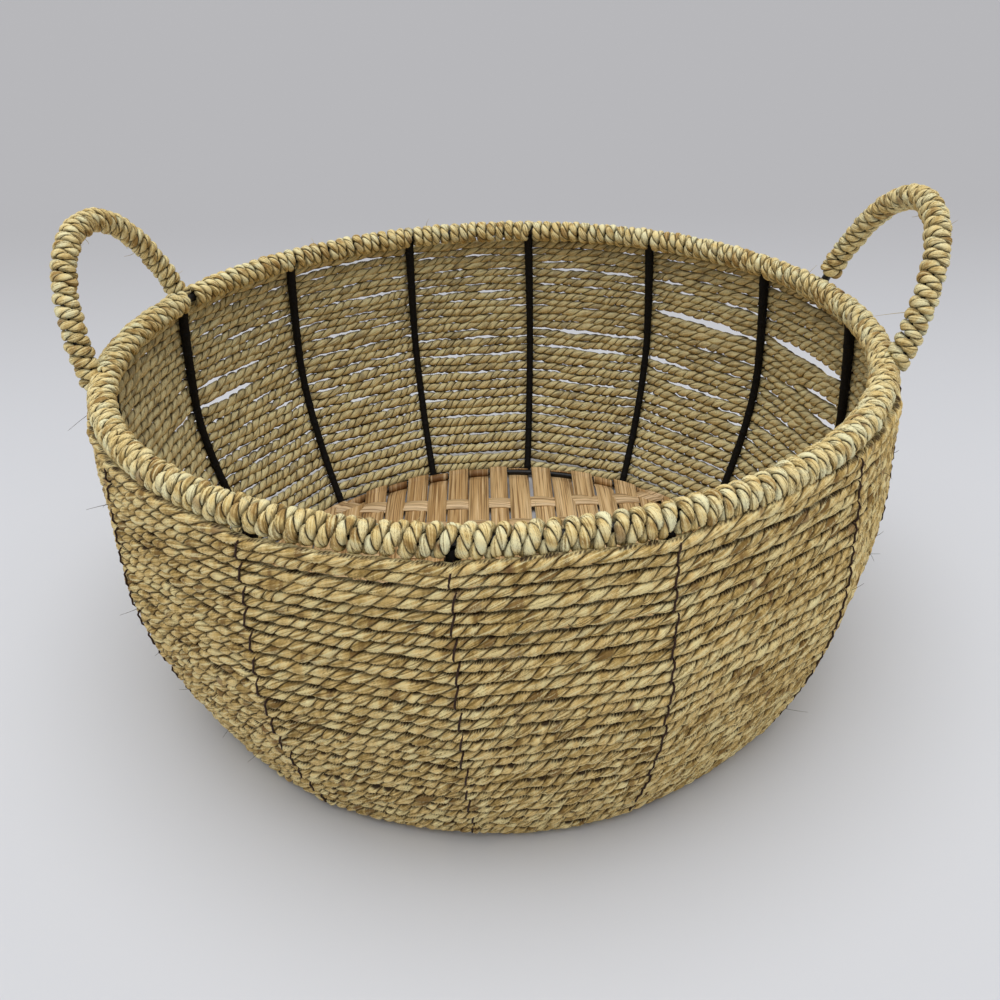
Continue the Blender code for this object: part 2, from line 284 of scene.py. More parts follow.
ROWS = 28
ROWS_PER_PIECE = 4
ROPE_THICK = 0.0059
ROPE_SEAT_SHARE = 0.47         # from the rib to the rope's middle, in shares of the rope's thickness
SEAT_GAP = 0.0002
LINE_SAMPLES = 600
TOP_ROW_DROP = 0.0088          # from the end of the wall line down to the middle of the top row
TOP_PITCH = 0.00470
FOOT_LENGTH = 0.0040           # from the start of the wall line up to where the lowest row starts
TAIL_DROP = 0.0034             # how far the rope's thin tail, under the lowest row, runs down in one round
TAIL_FROM = 4 / 14             # where in the round the tail starts
WALL_PLUMP = 0.42
RINGS_PER_LAY = 11
PLY_SIDES = 10
# A ply's D in shares of the cord's thickness: half its depth, half its width, how far its middle is from
# the cord's, and how far its flat side is. The first is for hard laid cord, the second for plump cord.
FLAT_PLY = np.array((0.43, 0.47, 0.065, 0.012))
ROUND_PLY = np.array((0.27, 0.33, 0.225, 0.020))
# A ply is nowhere quite as thick: beats for each ring, shift of the second ply and of each cord, and size.
PLY_SWELLS = ((0.31, 2.5, 1, 0.08), (0.83, 4, 2, 0.07))
FIBRE_BACK_TURN = 0.76         # grass in a ply is twisted back against the cord's turn by this share of it
FIBRE_GRAIN = 420              # how far the streaks' pattern, and the patches', runs on in a metre of cord
PATCH_GRAIN = 100
CORD_START = 13.7              # how far apart in them two cords start, and two plies
PLY_START = 50
# The side of a cord that faces the ribs: how much fainter its painted groove shade and its painted seam
# shade are, how much painted shade darkens it below, and how much painted light makes it paler on top.
INSIDE_HOLLOW, INSIDE_SEAM, INSIDE_PAINTED_SHADE_BELOW, INSIDE_PAINTED_LIGHT_TOP = 0.13, 0.10, 0.5, 1.8
END_THICK = 0.00034            # loose ends of grass that stand out of a cord
END_LENGTHS = (0.0025, 0.0075)
END_SHADE = 0.9                # how far they darken, as a seam does
END_STEPS = 6

PALE_STREAK = dye(255, 242, 186)
DARK_STREAK = dye(132, 104, 50)
FINE_LINE = dye(96, 70, 30)
BROWN_SPOT = dye(122, 82, 54)
# painted light: the colour that makes the side of a cord facing the ribs paler
PAINTED_INSIDE_LIGHT = dye(214, 214, 176)


def straw(name, colours, dark, painted_seam_strength, groove):
    """Dry grass: colour patches along each strand, fibre streaks, painted shade, in the colour dark, where
    the strands and the rows meet, and painted light on the side that faces the ribs. groove says from where
    to where the painted shade in the groove between the strands darkens, and by how much."""
    made = Finish(name, roughness=0.55, specular=0.2)
    fibre = made.read("fibre", "Vector")
    patch = made.read("patch", "Vector")
    streaks = made.noise(made.stretch(fibre, (0.12, 2.1, 2.1)), detail=3.0, roughness=0.6)
    fine = made.noise(made.stretch(fibre, (0.20, 6.0, 6.0)), detail=1.0)
    lengths = made.noise(made.stretch(patch, (1.7, 1.0, 1.0)), detail=2.0, roughness=0.6)
    broad = made.noise(made.stretch(patch, (0.12, 1.0, 1.0)), detail=1.0)
    rare = made.noise(made.stretch(patch, (0.8, 1.0, 1.0), shift=(31.0, 7.0, 3.0)), detail=1.0)
    base = made.ramp((lengths * 0.65 + broad * 0.35).step(0.36, 0.64), colours)
    base = made.mix(streaks.step(0.50, 0.64) * 0.7, base, PALE_STREAK)
    base = made.mix(streaks.step(0.49, 0.34) * 0.8, base, DARK_STREAK)
    base = made.mix(fine.step(0.45, 0.30) * 0.35, base, FINE_LINE)
    base = made.mix(rare.step(0.69, 0.76) * 0.6, base, BROWN_SPOT)
    # painted light: the side of a cord that faces the ribs is made paler, most on its upper half
    base = made.mix(made.read("inside") * 0.28, base, PAINTED_INSIDE_LIGHT)
    # painted shade: darker in the groove between the plies, towards the cord's axis
    base = made.mix(made.read("hollow").step(groove[0], groove[1]) * groove[2], base, dark)
    # painted shade: darker where a row meets its neighbours
    base = made.mix(made.read("seam").step(0.58, 0.90) * painted_seam_strength, base, dark)
    made.colour(base)
    made.rough(streaks.step(0.3, 0.7, 0.72, 0.48))
    made.bump(streaks * 0.7 + fine * 0.3, 0.0007)
    return made


wall_straw = straw("wall_seagrass",
                   [(0.0, dye(150, 117, 66)), (0.16, dye(204, 172, 103)), (0.60, dye(239, 207, 138)),
                    (1.0, dye(252, 232, 168))],
                   # the colour of the painted shade, its strength between rows, and where and how strongly
                   # it darkens the grooves
                   dye(42, 24, 5), 0.97, (0.10, 0.32, 0.64))

made_cords = {}


def straight_cord(lays, plump):
    """A straight two-ply cord one unit thick, one unit long a ring and closed at both ends. Each ply is a D
    in section, its flat side against the other's, and a screw turns the two Ds round the cord's axis. A
    plump cord has rounder plies with a deeper groove between them. Returns its mesh, its points, and for
    each point its direction in its ply and the ply's number."""
    if (lays, plump) in made_cords:
        return made_cords[lays, plump]
    half_deep, half_wide, apart, flat_side = FLAT_PLY + (ROUND_PLY - FLAT_PLY) * plump
    body = bmesh.new()
    layer = body.verts.layers.float_vector.new("round")
    for ply in (0, 1):
        made = bmesh.ops.create_circle(body, segments=PLY_SIDES, radius=1)
        facing = -1 if ply else 1
        for vert in made["verts"]:
            turn = math.atan2(vert.co.y, vert.co.x)
            deep = max(half_deep * math.cos(turn) + apart, flat_side)
            vert.co = (0, deep * facing, half_wide * math.sin(turn) * facing)
            vert[layer] = (math.cos(turn), math.sin(turn), ply)
    profile = bpy.data.meshes.new("ply_profile")
    body.to_mesh(profile)
    body.free()
    carrier = place("ply_profile", profile)
    screw = carrier.modifiers.new("twist", "SCREW")
    screw.axis = "X"
    screw.angle = -2 * math.pi
    screw.screw_offset = RINGS_PER_LAY
    screw.iterations = lays
    screw.steps = screw.render_steps = RINGS_PER_LAY
    screw.use_merge_vertices = False
    bpy.context.view_layer.update()
    carrier = carrier.evaluated_get(bpy.context.evaluated_depsgraph_get())
    turned = bpy.data.meshes.new_from_object(carrier)
    bpy.data.objects.remove(carrier.original)
    body = bmesh.new()
    body.from_mesh(turned)
    bmesh.ops.holes_fill(body, edges=[edge for edge in body.edges if edge.is_boundary], sides=0)
    bmesh.ops.recalc_face_normals(body, faces=body.faces)
    body.to_mesh(turned)
    body.free()
    places = np.empty(len(turned.vertices) * 3, np.float32)
    turned.vertices.foreach_get("co", places)
    rounds = np.empty(len(turned.vertices) * 3, np.float32)
    turned.attributes["round"].data.foreach_get("vector", rounds)
    turned.attributes.remove(turned.attributes["round"])
    made_cords[lays, plump] = (turned, places.reshape(-1, 3), rounds.reshape(-1, 3))
    return made_cords[lays, plump]


def waves(table, run, seed):
    """Unevenness along a run as a sum of sines. The table gives each one's beat, its shift from cord to
    cord, and its size."""
    return sum(size * np.sin(run * beat + seed * shift) for beat, shift, size in table)


def smooth_over(values, reach):
    """Rounds the corners of a run of points that goes on past both ends by reach."""
    weights = np.hanning(2 * reach + 1)
    weights /= weights.sum()
    return np.stack([np.convolve(column, weights, mode="valid") for column in values.T], axis=1)


def unit(vectors):
    return vectors / np.linalg.norm(vectors, axis=1)[:, None]


def keep(mesh, title, kind, values):
    """Keeps a number or a vector for each point of the mesh, which a finish reads by its title."""
    made = mesh.attributes.new(title, kind, "POINT")
    field = "vector" if kind == "FLOAT_VECTOR" else "value"
    made.data.foreach_set(field, values.astype(np.float32).ravel())


def loose_ends(line, outward, thick, count, seed):
    """A few thin ends of grass that come out of a cord and bend away."""
    chance = np.random.default_rng(seed)
    at = chance.integers(4, len(line) - 4, count)
    ahead = unit(line[at + 2] - line[at - 2])
    way = unit(outward[at] + ahead * chance.uniform(-1, 1, (count, 1)) + chance.normal(0, 0.35, (count, 3)))
    bend = chance.normal(0, 0.45, (count, 3))
    length = chance.uniform(*END_LENGTHS, (count, 1, 1))
    share = np.linspace(0, 1, END_STEPS)[:, None]
    roots = line[at] + outward[at] * thick * 0.3
    runs = roots[:, None] + length * (way[:, None] * share + bend[:, None] * share**2)
    runs[..., 2] = np.maximum(runs[..., 2], END_THICK)
    mesh = round_bars(runs, END_THICK, sides=0, sizes=np.linspace(1, 0.4, END_STEPS))
    # the loose ends are darkened through the channel of the painted shade between rows
    keep(mesh, "seam", "FLOAT", np.full(len(mesh.vertices), END_SHADE))
    return mesh


def lay_cord(lays, plump, line, outward, thick_out, thick_along, seed):
    """The straight cord bent along a line with one point for each ring. The mesh keeps the fibres' own
    coordinates, the colour patches' and three painted shades: painted shade in the groove, growing towards
    the cord's axis, painted shade between the rows, growing towards its neighbours on both sides, and
    painted light on the side that faces the ribs."""
    source, places, rounds = straight_cord(lays, plump)
    mesh = source.copy()
    ring = np.clip(np.rint(places[:, 0]), 0, len(line) - 1).astype(int)
    ply = rounds[:, 2]
    ahead = unit(np.gradient(line, axis=0))
    outward = unit(outward - ahead * (outward * ahead).sum(1)[:, None])
    beside = np.cross(ahead, outward)             # on the wall this is down
    swell = 1.0
    for beat, ply_shift, cord_shift, size in PLY_SWELLS:
        swell = swell + size * np.sin(ring * beat + ply * ply_shift + seed * cord_shift)
    out, down = places[:, 1] * swell, places[:, 2] * swell
    bent = line[ring] + outward[ring] * (out * np.broadcast_to(thick_out, len(line))[ring])[:, None]
    bent = bent + beside[ring] * (down * np.broadcast_to(thick_along, len(line))[ring])[:, None]
    bent[:, 2] = np.maximum(bent[:, 2], 0)        # the lowest row is pressed flat by the floor
    mesh.vertices.foreach_set("co", bent.astype(np.float32).ravel())

    run = np.concatenate([[0], np.cumsum(np.linalg.norm(np.diff(line, axis=0), axis=1))])[ring]
    start = seed * CORD_START
    back = np.arctan2(rounds[:, 1], rounds[:, 0])
    back = back - FIBRE_BACK_TURN * 2 * math.pi * places[:, 0] / RINGS_PER_LAY
    along_fibre = run * FIBRE_GRAIN + start + ply * PLY_START
    keep(mesh, "fibre", "FLOAT_VECTOR", np.stack([along_fibre, np.cos(back), np.sin(back)], axis=1))
    patch = [run * PATCH_GRAIN + start, np.full(len(run), seed * 3.1), ply * 1.3 + seed]
    keep(mesh, "patch", "FLOAT_VECTOR", np.stack(patch, axis=1))
    inside = np.clip(0.5 - out * 4, 0, 1)
    # painted shade in the groove between the plies, fainter on the side that faces the ribs
    hollow = (1 - np.hypot(out, down) / swell * 2) * (1 - INSIDE_HOLLOW * inside)
    keep(mesh, "hollow", "FLOAT", hollow)
    # painted shade between the rows; on the side that faces the ribs it is fainter, but heavier on the lower
    # half
    seam = np.abs(down) * 2 * (1 - INSIDE_SEAM * inside) + down * INSIDE_PAINTED_SHADE_BELOW * inside
    keep(mesh, "seam", "FLOAT", seam)
    # painted light on the side that faces the ribs, stronger on its upper half
    keep(mesh, "inside", "FLOAT", inside * (1 - down * INSIDE_PAINTED_LIGHT_TOP))
    return mesh


def join_cords(name, meshes, finish):
    """Several laid cords made one piece."""
    body = bmesh.new()
    for mesh in meshes:
        body.from_mesh(mesh)
        bpy.data.meshes.remove(mesh)
    joined = bpy.data.meshes.new(name)
    body.to_mesh(joined)
    body.free()
    joined.materials.append(finish.made)
    joined.shade_smooth()
    return place(name, joined)


def wall_line():
    """The rope's middle line up the wall at a rib: length along it, radius and height, and the way out."""
    heights = np.linspace(BASE_RING_HEIGHT, RIM_HEIGHT, LINE_SAMPLES)
    line = np.stack([rib_radius(heights), heights], axis=1)
    along = unit(np.gradient(line, axis=0))
    outward = np.stack([along[:, 1], -along[:, 0]], axis=1)
    middle = line + outward * (RIB_WIRE / 2 + SERVING / 2 + ROPE_THICK * ROPE_SEAT_SHARE + SEAT_GAP)
    length = np.concatenate([[0.0], np.cumsum(np.linalg.norm(np.diff(middle, axis=0), axis=1))])
    return length, middle, outward


wall_length, wall_middle, wall_outward = wall_line()
LAST_LOOP = ROWS - 0.5
# Rows further down lie wider apart, so that the lowest one comes out just above the base ring.
pitch_growth = (wall_length[-1] - TOP_ROW_DROP - FOOT_LENGTH - TOP_PITCH * LAST_LOOP) / LAST_LOOP**2


def read_wall(table, length):
    return np.stack([np.interp(length, wall_length, column) for column in table.T], axis=-1)


def row_length(loops_down):
    """Length up the wall of the row that is so many loops below the top one. The tail below the last row
    runs down more slowly."""
    even = wall_length[-1] - TOP_ROW_DROP - TOP_PITCH * loops_down - pitch_growth * loops_down**2
    past = loops_down - LAST_LOOP
    return np.where(past > 0, FOOT_LENGTH - TAIL_DROP * past, even)


# Places where two rows stand apart in a bay: the rib that the bay starts at, loops below the top, how far
# the rows part, and the shares of the bay between which they do.
GAPS = (
    (13, 4.07, 0.0024, 0.0, 1.0), (13, 6.07, 0.0013, 0.0, 1.0), (13, 12.07, 0.0028, 0.0, 1.0),
    (13, 14.07, 0.0022, 0.0, 1.0), (13, 15.9, 0.0013, 0.1, 0.9), (13, 18.1, 0.0010, 0.2, 0.8),
    (12, 8.11, 0.0046, 0.0, 1.0), (12, 14.11, 0.0030, 0.6, 1.0), (12, 16.4, 0.0028, 0.3, 0.76),
    (12, 4.11, 0.0018, 0.65, 1.0), (12, 5.6, 0.0018, 0.0, 0.4), (12, 11.1, 0.0013, 0.1, 0.6),
    (11, 7.6, 0.0064, 0.0, 1.0), (11, 10.18, 0.0054, 0.0, 0.6), (11, 12.2, 0.0042, 0.0, 0.5),
    (0, 6.96, 0.0013, 0.0, 1.0), (0, 12.96, 0.0018, 0.0, 1.0), (0, 14.96, 0.0018, 0.0, 1.0),
    (0, 16.9, 0.0012, 0.0, 1.0), (0, 19.0, 0.0011, 0.2, 1.0), (1, 0.89, 0.0022, 0.0, 1.0),
    (1, 5.9, 0.0014, 0.1, 0.5), (1, 9.9, 0.0014, 0.4, 0.9), (1, 15.2, 0.0016, 0.2, 0.9),
    (2, 9.82, 0.0018, 0.4, 1.0), (2, 11.82, 0.0036, 0.4, 1.0), (2, 5.4, 0.0014, 0.1, 0.6),
    (2, 19.3, 0.0016, 0.2, 0.8), (3, 9.1, 0.0024, 0.0, 0.3), (3, 11.3, 0.0022, 0.0, 0.3),
    (3, 8.8, 0.0022, 0.4, 0.75), (10, 9.3, 0.0014, 0.0, 1.0),
)
GAP_REACH = 1.6                # in loops: the rows beside a gap share in it, ever less
TOP_LIFT = 0.0022              # how far the top row is pushed up against the rim cord mid-bay at the front
TOP_LIFT_REACH = 3.5           # in loops: how far down the lift is felt
PAIR_DRAW = 0.0006             # how far the two rows of one stitch are drawn together mid-bay, at most
BELLY_POWER = 0.7              # below 1, a row's rise over a bay is blunter than a sine
ROW_WAVES = ((15.3, 1.7, 0.00018), (34.0, 4.3, 0.00014))          # up and down
BACK_WAVES, FRONT_WAVES = 2.4, 0.9                  # the rows at the back are the less even ones
CALM_LOOPS = (18, 23)          # between these loops below the top the waves sink to this share
CALM = 0.3


def row_lift(loops_down, run):
    """How far a row stands above its even place at a run counted in bays."""
    bay = np.floor(run).astype(int) % RIB_COUNT
    share = run - np.floor(run)
    belly = np.sin(share * math.pi) ** BELLY_POWER
    to_front = np.clip(-np.sin(np.radians(FIRST_RIB_DEG + RIB_STEP_DEG * run)), 0, 1)
    lift = TOP_LIFT * to_front * belly * np.exp(-np.clip(loops_down, 0, None) / TOP_LIFT_REACH)
    for start, at, room, first, last in GAPS:
        away = loops_down - at
        push = np.where(away < 0, 1, -1) * room / 2 * np.exp(-np.abs(np.abs(away) - 0.5) / GAP_REACH)
        within = np.sin(np.clip((share - first) / (last - first), 0, 1) * math.pi) ** BELLY_POWER
        lift += np.where(bay == start, push * within, 0)
    row = np.rint(loops_down + run / RIB_COUNT - 0.5)
    waver = waves(ROW_WAVES, run, row) * (BACK_WAVES - (BACK_WAVES - FRONT_WAVES) * to_front)
    waver = waver * np.interp(loops_down, CALM_LOOPS, (1, CALM))
    # A number between 0 and 1 for each pair of rows in each bay, without order but always the same.
    chance = np.sin(np.floor(row / 2) * 12.9898 + bay * 78.233) * 43758.5453
    chance = chance - np.floor(chance)
    return lift + waver + np.where(row % 2, 1, -1) * PAIR_DRAW * chance**1.5 * belly


SAGITTA = 0.0047               # how far the middle of a bay would stand out if the row were round
# How round the rows are at these heights: taut at the belly, round by the rings.
BOW_HEIGHTS = (0.0, 0.03, 0.06, 0.10, 0.13, 0.16)
BOW_SHARES = (0.65, 0.55, 0.15, 0.1, 0.6, 1.1)
SWAY_WAVES = ((3.3, 1.9, 0.00022), (7.9, 4.1, 0.00014))           # in and out
THICK_WAVES = ((1.7, 2.9, 0.06), (4.6, 1.3, 0.05), (11.9, 1.0, 0.04))
# The lay is longer and shorter by turns: beats in a round, how many rows until they repeat, and size.
LAY_BEATS = ((7, 3, 0.12), (29, 5, 0.16), (61, 7, 0.12))
ROW_LAYS = (88, 92, 84, 95, 89, 82, 93)             # lays in one round, by turns from row to row
LONG_ROWS = (0, 3, 10)         # rows of thicker rope with a longer lay
LONG_LAYS = 66
LONG_THICK = 1.10
ROW_FILL = 1.10                # a row's thickness in shares of the pitch, between these limits
THICK_LIMITS = (0.0055, 0.0072)
MOST_OUT = 0.0064              # no row is thicker than this outwards
AT_RIB = 0.90                  # a stitch pulls the rope in to this share at a rib
CORNER_REACH = 5               # in rings: how round the rope's corner at a rib is
WALL_ENDS = 4                  # loose ends in a row


def row_mesh(row, start=0.0):
    """One row of the wall, row 0 at the top, from rib 0 round to rib 0 again and up one pitch. start is the
    share of the round at which the row starts."""
    long_lay = row in LONG_ROWS
    lays = round((LONG_LAYS if long_lay else ROW_LAYS[row % len(ROW_LAYS)]) * (1 - start))
    rings = lays * RINGS_PER_LAY
    share = start + (1 - start) * np.arange(-CORNER_REACH, rings + 1 + CORNER_REACH) / rings
    run = share * RIB_COUNT
    for fewest, repeat, size in LAY_BEATS:
        beats = fewest + row % repeat
        run = run + size * RIB_COUNT * np.sin(share * 2 * math.pi * beats) / (2 * math.pi * beats)
    loops_down = row + 0.5 - run / RIB_COUNT
    corner_runs = np.arange(-1, RIB_COUNT + 2)
    flat = read_wall(wall_middle, row_length(row + 0.5 - corner_runs / RIB_COUNT))
    corners = round_place(flat[:, 0], [rib_angle(number) for number in corner_runs], flat[:, 1])
    line = np.stack([np.interp(run, corner_runs, column) for column in corners.T], axis=1)
    normal = read_wall(wall_outward, row_length(loops_down))
    from_middle = line[:, :2] - lean(line[:, 2])
    turn = np.arctan2(from_middle[:, 1], from_middle[:, 0])
    outward = np.stack([normal[:, 0] * np.cos(turn), normal[:, 0] * np.sin(turn), normal[:, 1]], axis=1)
    upward = np.stack([-normal[:, 1] * np.cos(turn), -normal[:, 1] * np.sin(turn), normal[:, 0]], axis=1)
    mid_bay = np.sin((run - np.floor(run)) * math.pi)
    bow = np.interp(line[:, 2], BOW_HEIGHTS, BOW_SHARES) * SAGITTA * mid_bay
    line = line + upward * row_lift(loops_down, run)[:, None]
    line = line + outward * (waves(SWAY_WAVES, run, row) * mid_bay + bow)[:, None]
    line = smooth_over(line, CORNER_REACH)

    inner = slice(CORNER_REACH, -CORNER_REACH)
    run, mid_bay, loops_down, outward = run[inner], mid_bay[inner], loops_down[inner], outward[inner]
    thick = np.clip((TOP_PITCH + 2 * pitch_growth * loops_down) * ROW_FILL, *THICK_LIMITS)
    if long_lay:
        thick = thick * LONG_THICK
    thick = thick * (1 + waves(THICK_WAVES, run, row)) * (AT_RIB + (1 - AT_RIB) * mid_bay**0.5)
    thick = thick * (1 - np.clip(loops_down - LAST_LOOP, 0, 1))          # the tail grows thin
    return [lay_cord(lays, WALL_PLUMP, line, outward, np.minimum(thick, MOST_OUT), thick, row + 1),
            loose_ends(line, outward, ROPE_THICK, WALL_ENDS, row + 1)]


for first_row in range(0, ROWS, ROWS_PER_PIECE):
    end_row = first_row + ROWS_PER_PIECE
    cords = [mesh for row in range(first_row, end_row) for mesh in row_mesh(row)]
    if end_row == ROWS:
        cords += row_mesh(ROWS, TAIL_FROM)
    piece = join_cords(f"wall_rows_{first_row + 1:02d}_to_{end_row:02d}", cords, wall_straw)
    hand_over(piece, "wall_rope")


# Stitch threads: at each rib a dark spun thread ties the rows to the rib two at a time, so it shows as a
# line of short stitches up the outside of the wall.

THREAD_THICK = 0.0009
# One stitch: share of its length, height over the rope's middle line, and slant.
STITCH_PATH = ((0.0, -0.0034, 0.5), (0.03, -0.0010, 0.7), (0.09, 0.0017, 0.65), (0.25, 0.0027, 0.2),
               (0.5, 0.0023, -0.3), (0.75, 0.0027, -0.6), (0.91, 0.0017, -0.5), (0.97, -0.0010, -0.4))
STITCH_SLANT = 0.0012
STITCH_JOG = 0.0006

thread_finish = Finish("dark_thread", roughness=0.75, specular=0.25)
thread_fuzz = thread_finish.noise(thread_finish.object_place(), 1500.0, detail=3.0)
thread_finish.colour(thread_finish.ramp(thread_fuzz, [(0.3, dye(30, 19, 13)), (0.7, dye(70, 46, 32))]))
thread_finish.bump(thread_fuzz, 0.0002)

for number in range(RIB_COUNT):
    knots = []
    for stitch in range(TIES):
        for share, out, slant in STITCH_PATH:
            down = (stitch + share) * ROWS / TIES - number / RIB_COUNT
            jog = STITCH_JOG * math.sin(stitch * 2.3 + number * 1.7)
            knots.append((down, out, slant * STITCH_SLANT + jog))
    knots.append((ROWS - number / RIB_COUNT, -0.0010, 0))
    down, out, jog = np.array(knots).T
    length = row_length(down)
    flat = read_wall(wall_middle, length) + read_wall(wall_outward, length) * out[:, None]
    line = round_place(flat[:, 0], rib_angle(number) + np.degrees(jog / flat[:, 0]), flat[:, 1])
    thread = wire(f"stitches_{number + 1:02d}", line, THREAD_THICK, thread_finish, sides=2)
    hand_over(thread, f"stitch_thread_{number + 1:02d}")


# Rim cord: a plumper two-ply grass cord wound close round the rim ring. It parts below the ring at every
# rib and outside it at every handle foot, where a short bit of black wire shows.

RIM_CORD = 0.0046
RIM_TURN_PITCH = 0.0062
CORD_PLUMP = 0.6
CORD_SEAT_SHARE = 0.46         # from the wire to the cord's middle, in shares of the cord's thickness
TURN_SLANT = 0.17              # how far a turn runs ahead where it faces outward, in turns
TURN_DRIFT = 0.06              # how far the turns stray from their even places, in turns
TURN_WAVES = ((1.9, 2, 0.05), (5.3, 1, 0.04))
LAYS_PER_TURN = 2.8
PARTING_AFTER = 0.0036         # how far the turns next to a rib or a foot are pushed aside
PARTING_BEFORE = 0.0006
PARTING_REACH = 0.0050
BELOW, OUTSIDE = (0, 1), (1, 0)                     # where the turns part most: outwards, downwards
SINGLE_TURN = 0.011            # a stretch no longer than this belongs to its neighbour's cord
BARE_DEG = 159.5               # between the left handle's rear foot and the rib beside it the ring is bare
ENDS_PER_LAY = 0.09            # loose ends in a wound cord

rim_straw = straw("wrap_seagrass",
                  [(0.0, dye(184, 148, 88)), (0.25, dye(240, 212, 142)), (0.60, dye(255, 234, 172)),
                   (1.0, dye(255, 250, 204))],
                  # the colour of the painted shade, its strength between rows, and where and how strongly it
                  # darkens the grooves
                  dye(34, 20, 7), 0.5, (0.16, 0.46, 0.95))


def wound_cord(lays, turns, centre, outward, across, core, cord, wide, seed, first_deg=0.0, part=None):
    """Cord wound round a wire. centre, outward and across give the wire's middle and two directions square
    to it at any share of its length. Each turn slants most where it faces outward. part gives how far each
    turn is pushed aside at its share and direction. The cord starts at first_deg from outward, towards
    across."""
    share = np.arange(lays * RINGS_PER_LAY + 1) / (lays * RINGS_PER_LAY)
    first = math.radians(first_deg)
    turn = first - share * turns * 2 * math.pi
    aside = TURN_SLANT * (math.sin(first) - np.sin(turn)) / turns
    stray = (np.sin(share * turns * 4.4 + seed) - math.sin(seed)) * np.sin(share * math.pi)
    aside += TURN_DRIFT * stray / turns
    if part:
        aside = aside + part(share, np.cos(turn), np.sin(turn))
    side = outward(share) * np.cos(turn)[:, None] + across(share) * np.sin(turn)[:, None]
    line = centre(share + aside) + side * (core + cord * CORD_SEAT_SHARE)
    uneven = 1 + waves(TURN_WAVES, share * turns, seed)
    return [lay_cord(lays, CORD_PLUMP, line, side, cord * uneven, wide * uneven, seed),
            loose_ends(line, side, cord, round(lays * ENDS_PER_LAY), int(seed * 10))]


HANDLE_WIRE = 0.0045
HANDLE_FOOT = 0.0045           # how far a foot runs down past the rim ring's middle
HANDLE_CURVE_POWER = 2.12      # 2 is an ellipse, more is squarer


class Handle:
    """One wire loop that stands on the outside of the rim ring and leans outwards. Its legs draw together a
    little towards the top."""

    def __init__(self, middle_deg, lean_deg, span, rise, stand_off, taper):
        turn, tip = math.radians(middle_deg), math.radians(lean_deg)
        outward = np.array([math.cos(turn), math.sin(turn), 0])
        self.side = np.array([-math.sin(turn), math.cos(turn), 0])
        self.up = outward * math.sin(tip) + np.array([0, 0, math.cos(tip)])
        self.face = np.cross(self.side, self.up)
        weld = RIM_RADIUS + stand_off
        self.middle = outward * math.sqrt(weld**2 - (span / 2) ** 2) + np.array([0, 0, RIM_HEIGHT])
        spread = math.degrees(math.asin(span / 2 / weld))
        self.feet = (middle_deg - spread, middle_deg + spread)
        turns = np.linspace(0, math.pi, LINE_SAMPLES)
        power = 2 / HANDLE_CURVE_POWER
        upwards = np.abs(np.sin(turns)) ** power
        sideways = -span / 2 * np.sign(np.cos(turns)) * np.abs(np.cos(turns)) ** power
        sideways = sideways * (1 - taper * upwards)
        sideways = np.concatenate([sideways[:1], sideways, sideways[-1:]])
        upwards = np.concatenate([[-HANDLE_FOOT], rise * upwards, [-HANDLE_FOOT]])
        self.flat = np.stack([sideways, upwards], axis=1)
        self.length = np.concatenate([[0.0], np.cumsum(np.linalg.norm(np.diff(self.flat, axis=0), axis=1))])

    def along(self, length):
        flat = np.stack([np.interp(length, self.length, column) for column in self.flat.T], axis=-1)
        return self.middle + flat[..., :1] * self.side + flat[..., 1:] * self.up


handles = {
    "left": Handle(176.2, 16.7, span=0.1169, rise=0.0616, stand_off=0.0053, taper=0.11),
    "right": Handle(2.55, 22.0, span=0.1126, rise=0.0662, stand_off=0.0046, taper=0.055),
}

partings = [(rib_angle(number) % 360, BELOW) for number in range(RIB_COUNT)]
partings += [(foot % 360, OUTSIDE) for handle in handles.values() for foot in handle.feet]
partings.sort()
wraps = 0                      # counts the stretches as the solids are numbered
for number, (before, after) in enumerate(zip(partings, partings[1:] + partings[:1]), 1):
    start, end = before[0], before[0] + (after[0] - before[0]) % 360
    run = math.radians(end - start) * RIM_RADIUS
    wraps += run > SINGLE_TURN
    if run < RIM_TURN_PITCH or start < BARE_DEG < end:
        continue
    turns = round(run / RIM_TURN_PITCH)
    lays = round(turns * LAYS_PER_TURN)

    def ring_turn(share):
        return start + (end - start) * share

    def ring_centre(share):
        return round_place(RIM_RADIUS, ring_turn(share), RIM_HEIGHT)

    def ring_outward(share):
        turn = np.radians(ring_turn(share))
        return np.stack([np.cos(turn), np.sin(turn), np.zeros_like(turn)], axis=1)

    def ring_downward(share):
        return np.tile([0.0, 0.0, -1.0], (len(share), 1))

    def ring_part(share, outwards, downwards):
        facing_before = 1 + outwards * before[1][0] + downwards * before[1][1]
        facing_after = 1 + outwards * after[1][0] + downwards * after[1][1]
        near_start = np.exp(-share * run / PARTING_REACH) * facing_before
        near_end = np.exp(-(1 - share) * run / PARTING_REACH) * facing_after
        return (near_start * PARTING_AFTER - near_end * PARTING_BEFORE) / 2 / run

    cords = wound_cord(lays, turns, ring_centre, ring_outward, ring_downward, RIM_WIRE / 2, RIM_CORD,
                       run / turns, number * 2.4, first_deg=-90, part=ring_part)
    piece = join_cords(f"rim_cord_{number:02d}", cords, rim_straw)
    hand_over(piece, f"rim_wrap_{wraps:02d}")


# Handles: two loops of black wire welded to the outside of the rim ring, leaning outwards, each wound from
# foot to foot with the same plump cord as the rim.

HANDLE_CORD = 0.0043
HANDLE_TURN_PITCH = 0.0058
HANDLE_SAMPLES = 90
HANDLE_LOOK = 0.002            # how far ahead and behind the wire's direction is read
# Bare wire above the rim ring's middle at each foot. Less than nothing: the cord goes down past it.
HANDLE_BARE = {"left": (0.0046, -0.0010), "right": (-0.0010, 0.0080)}
HANDLE_SEEDS = {"left": 20.0, "right": 31.0}

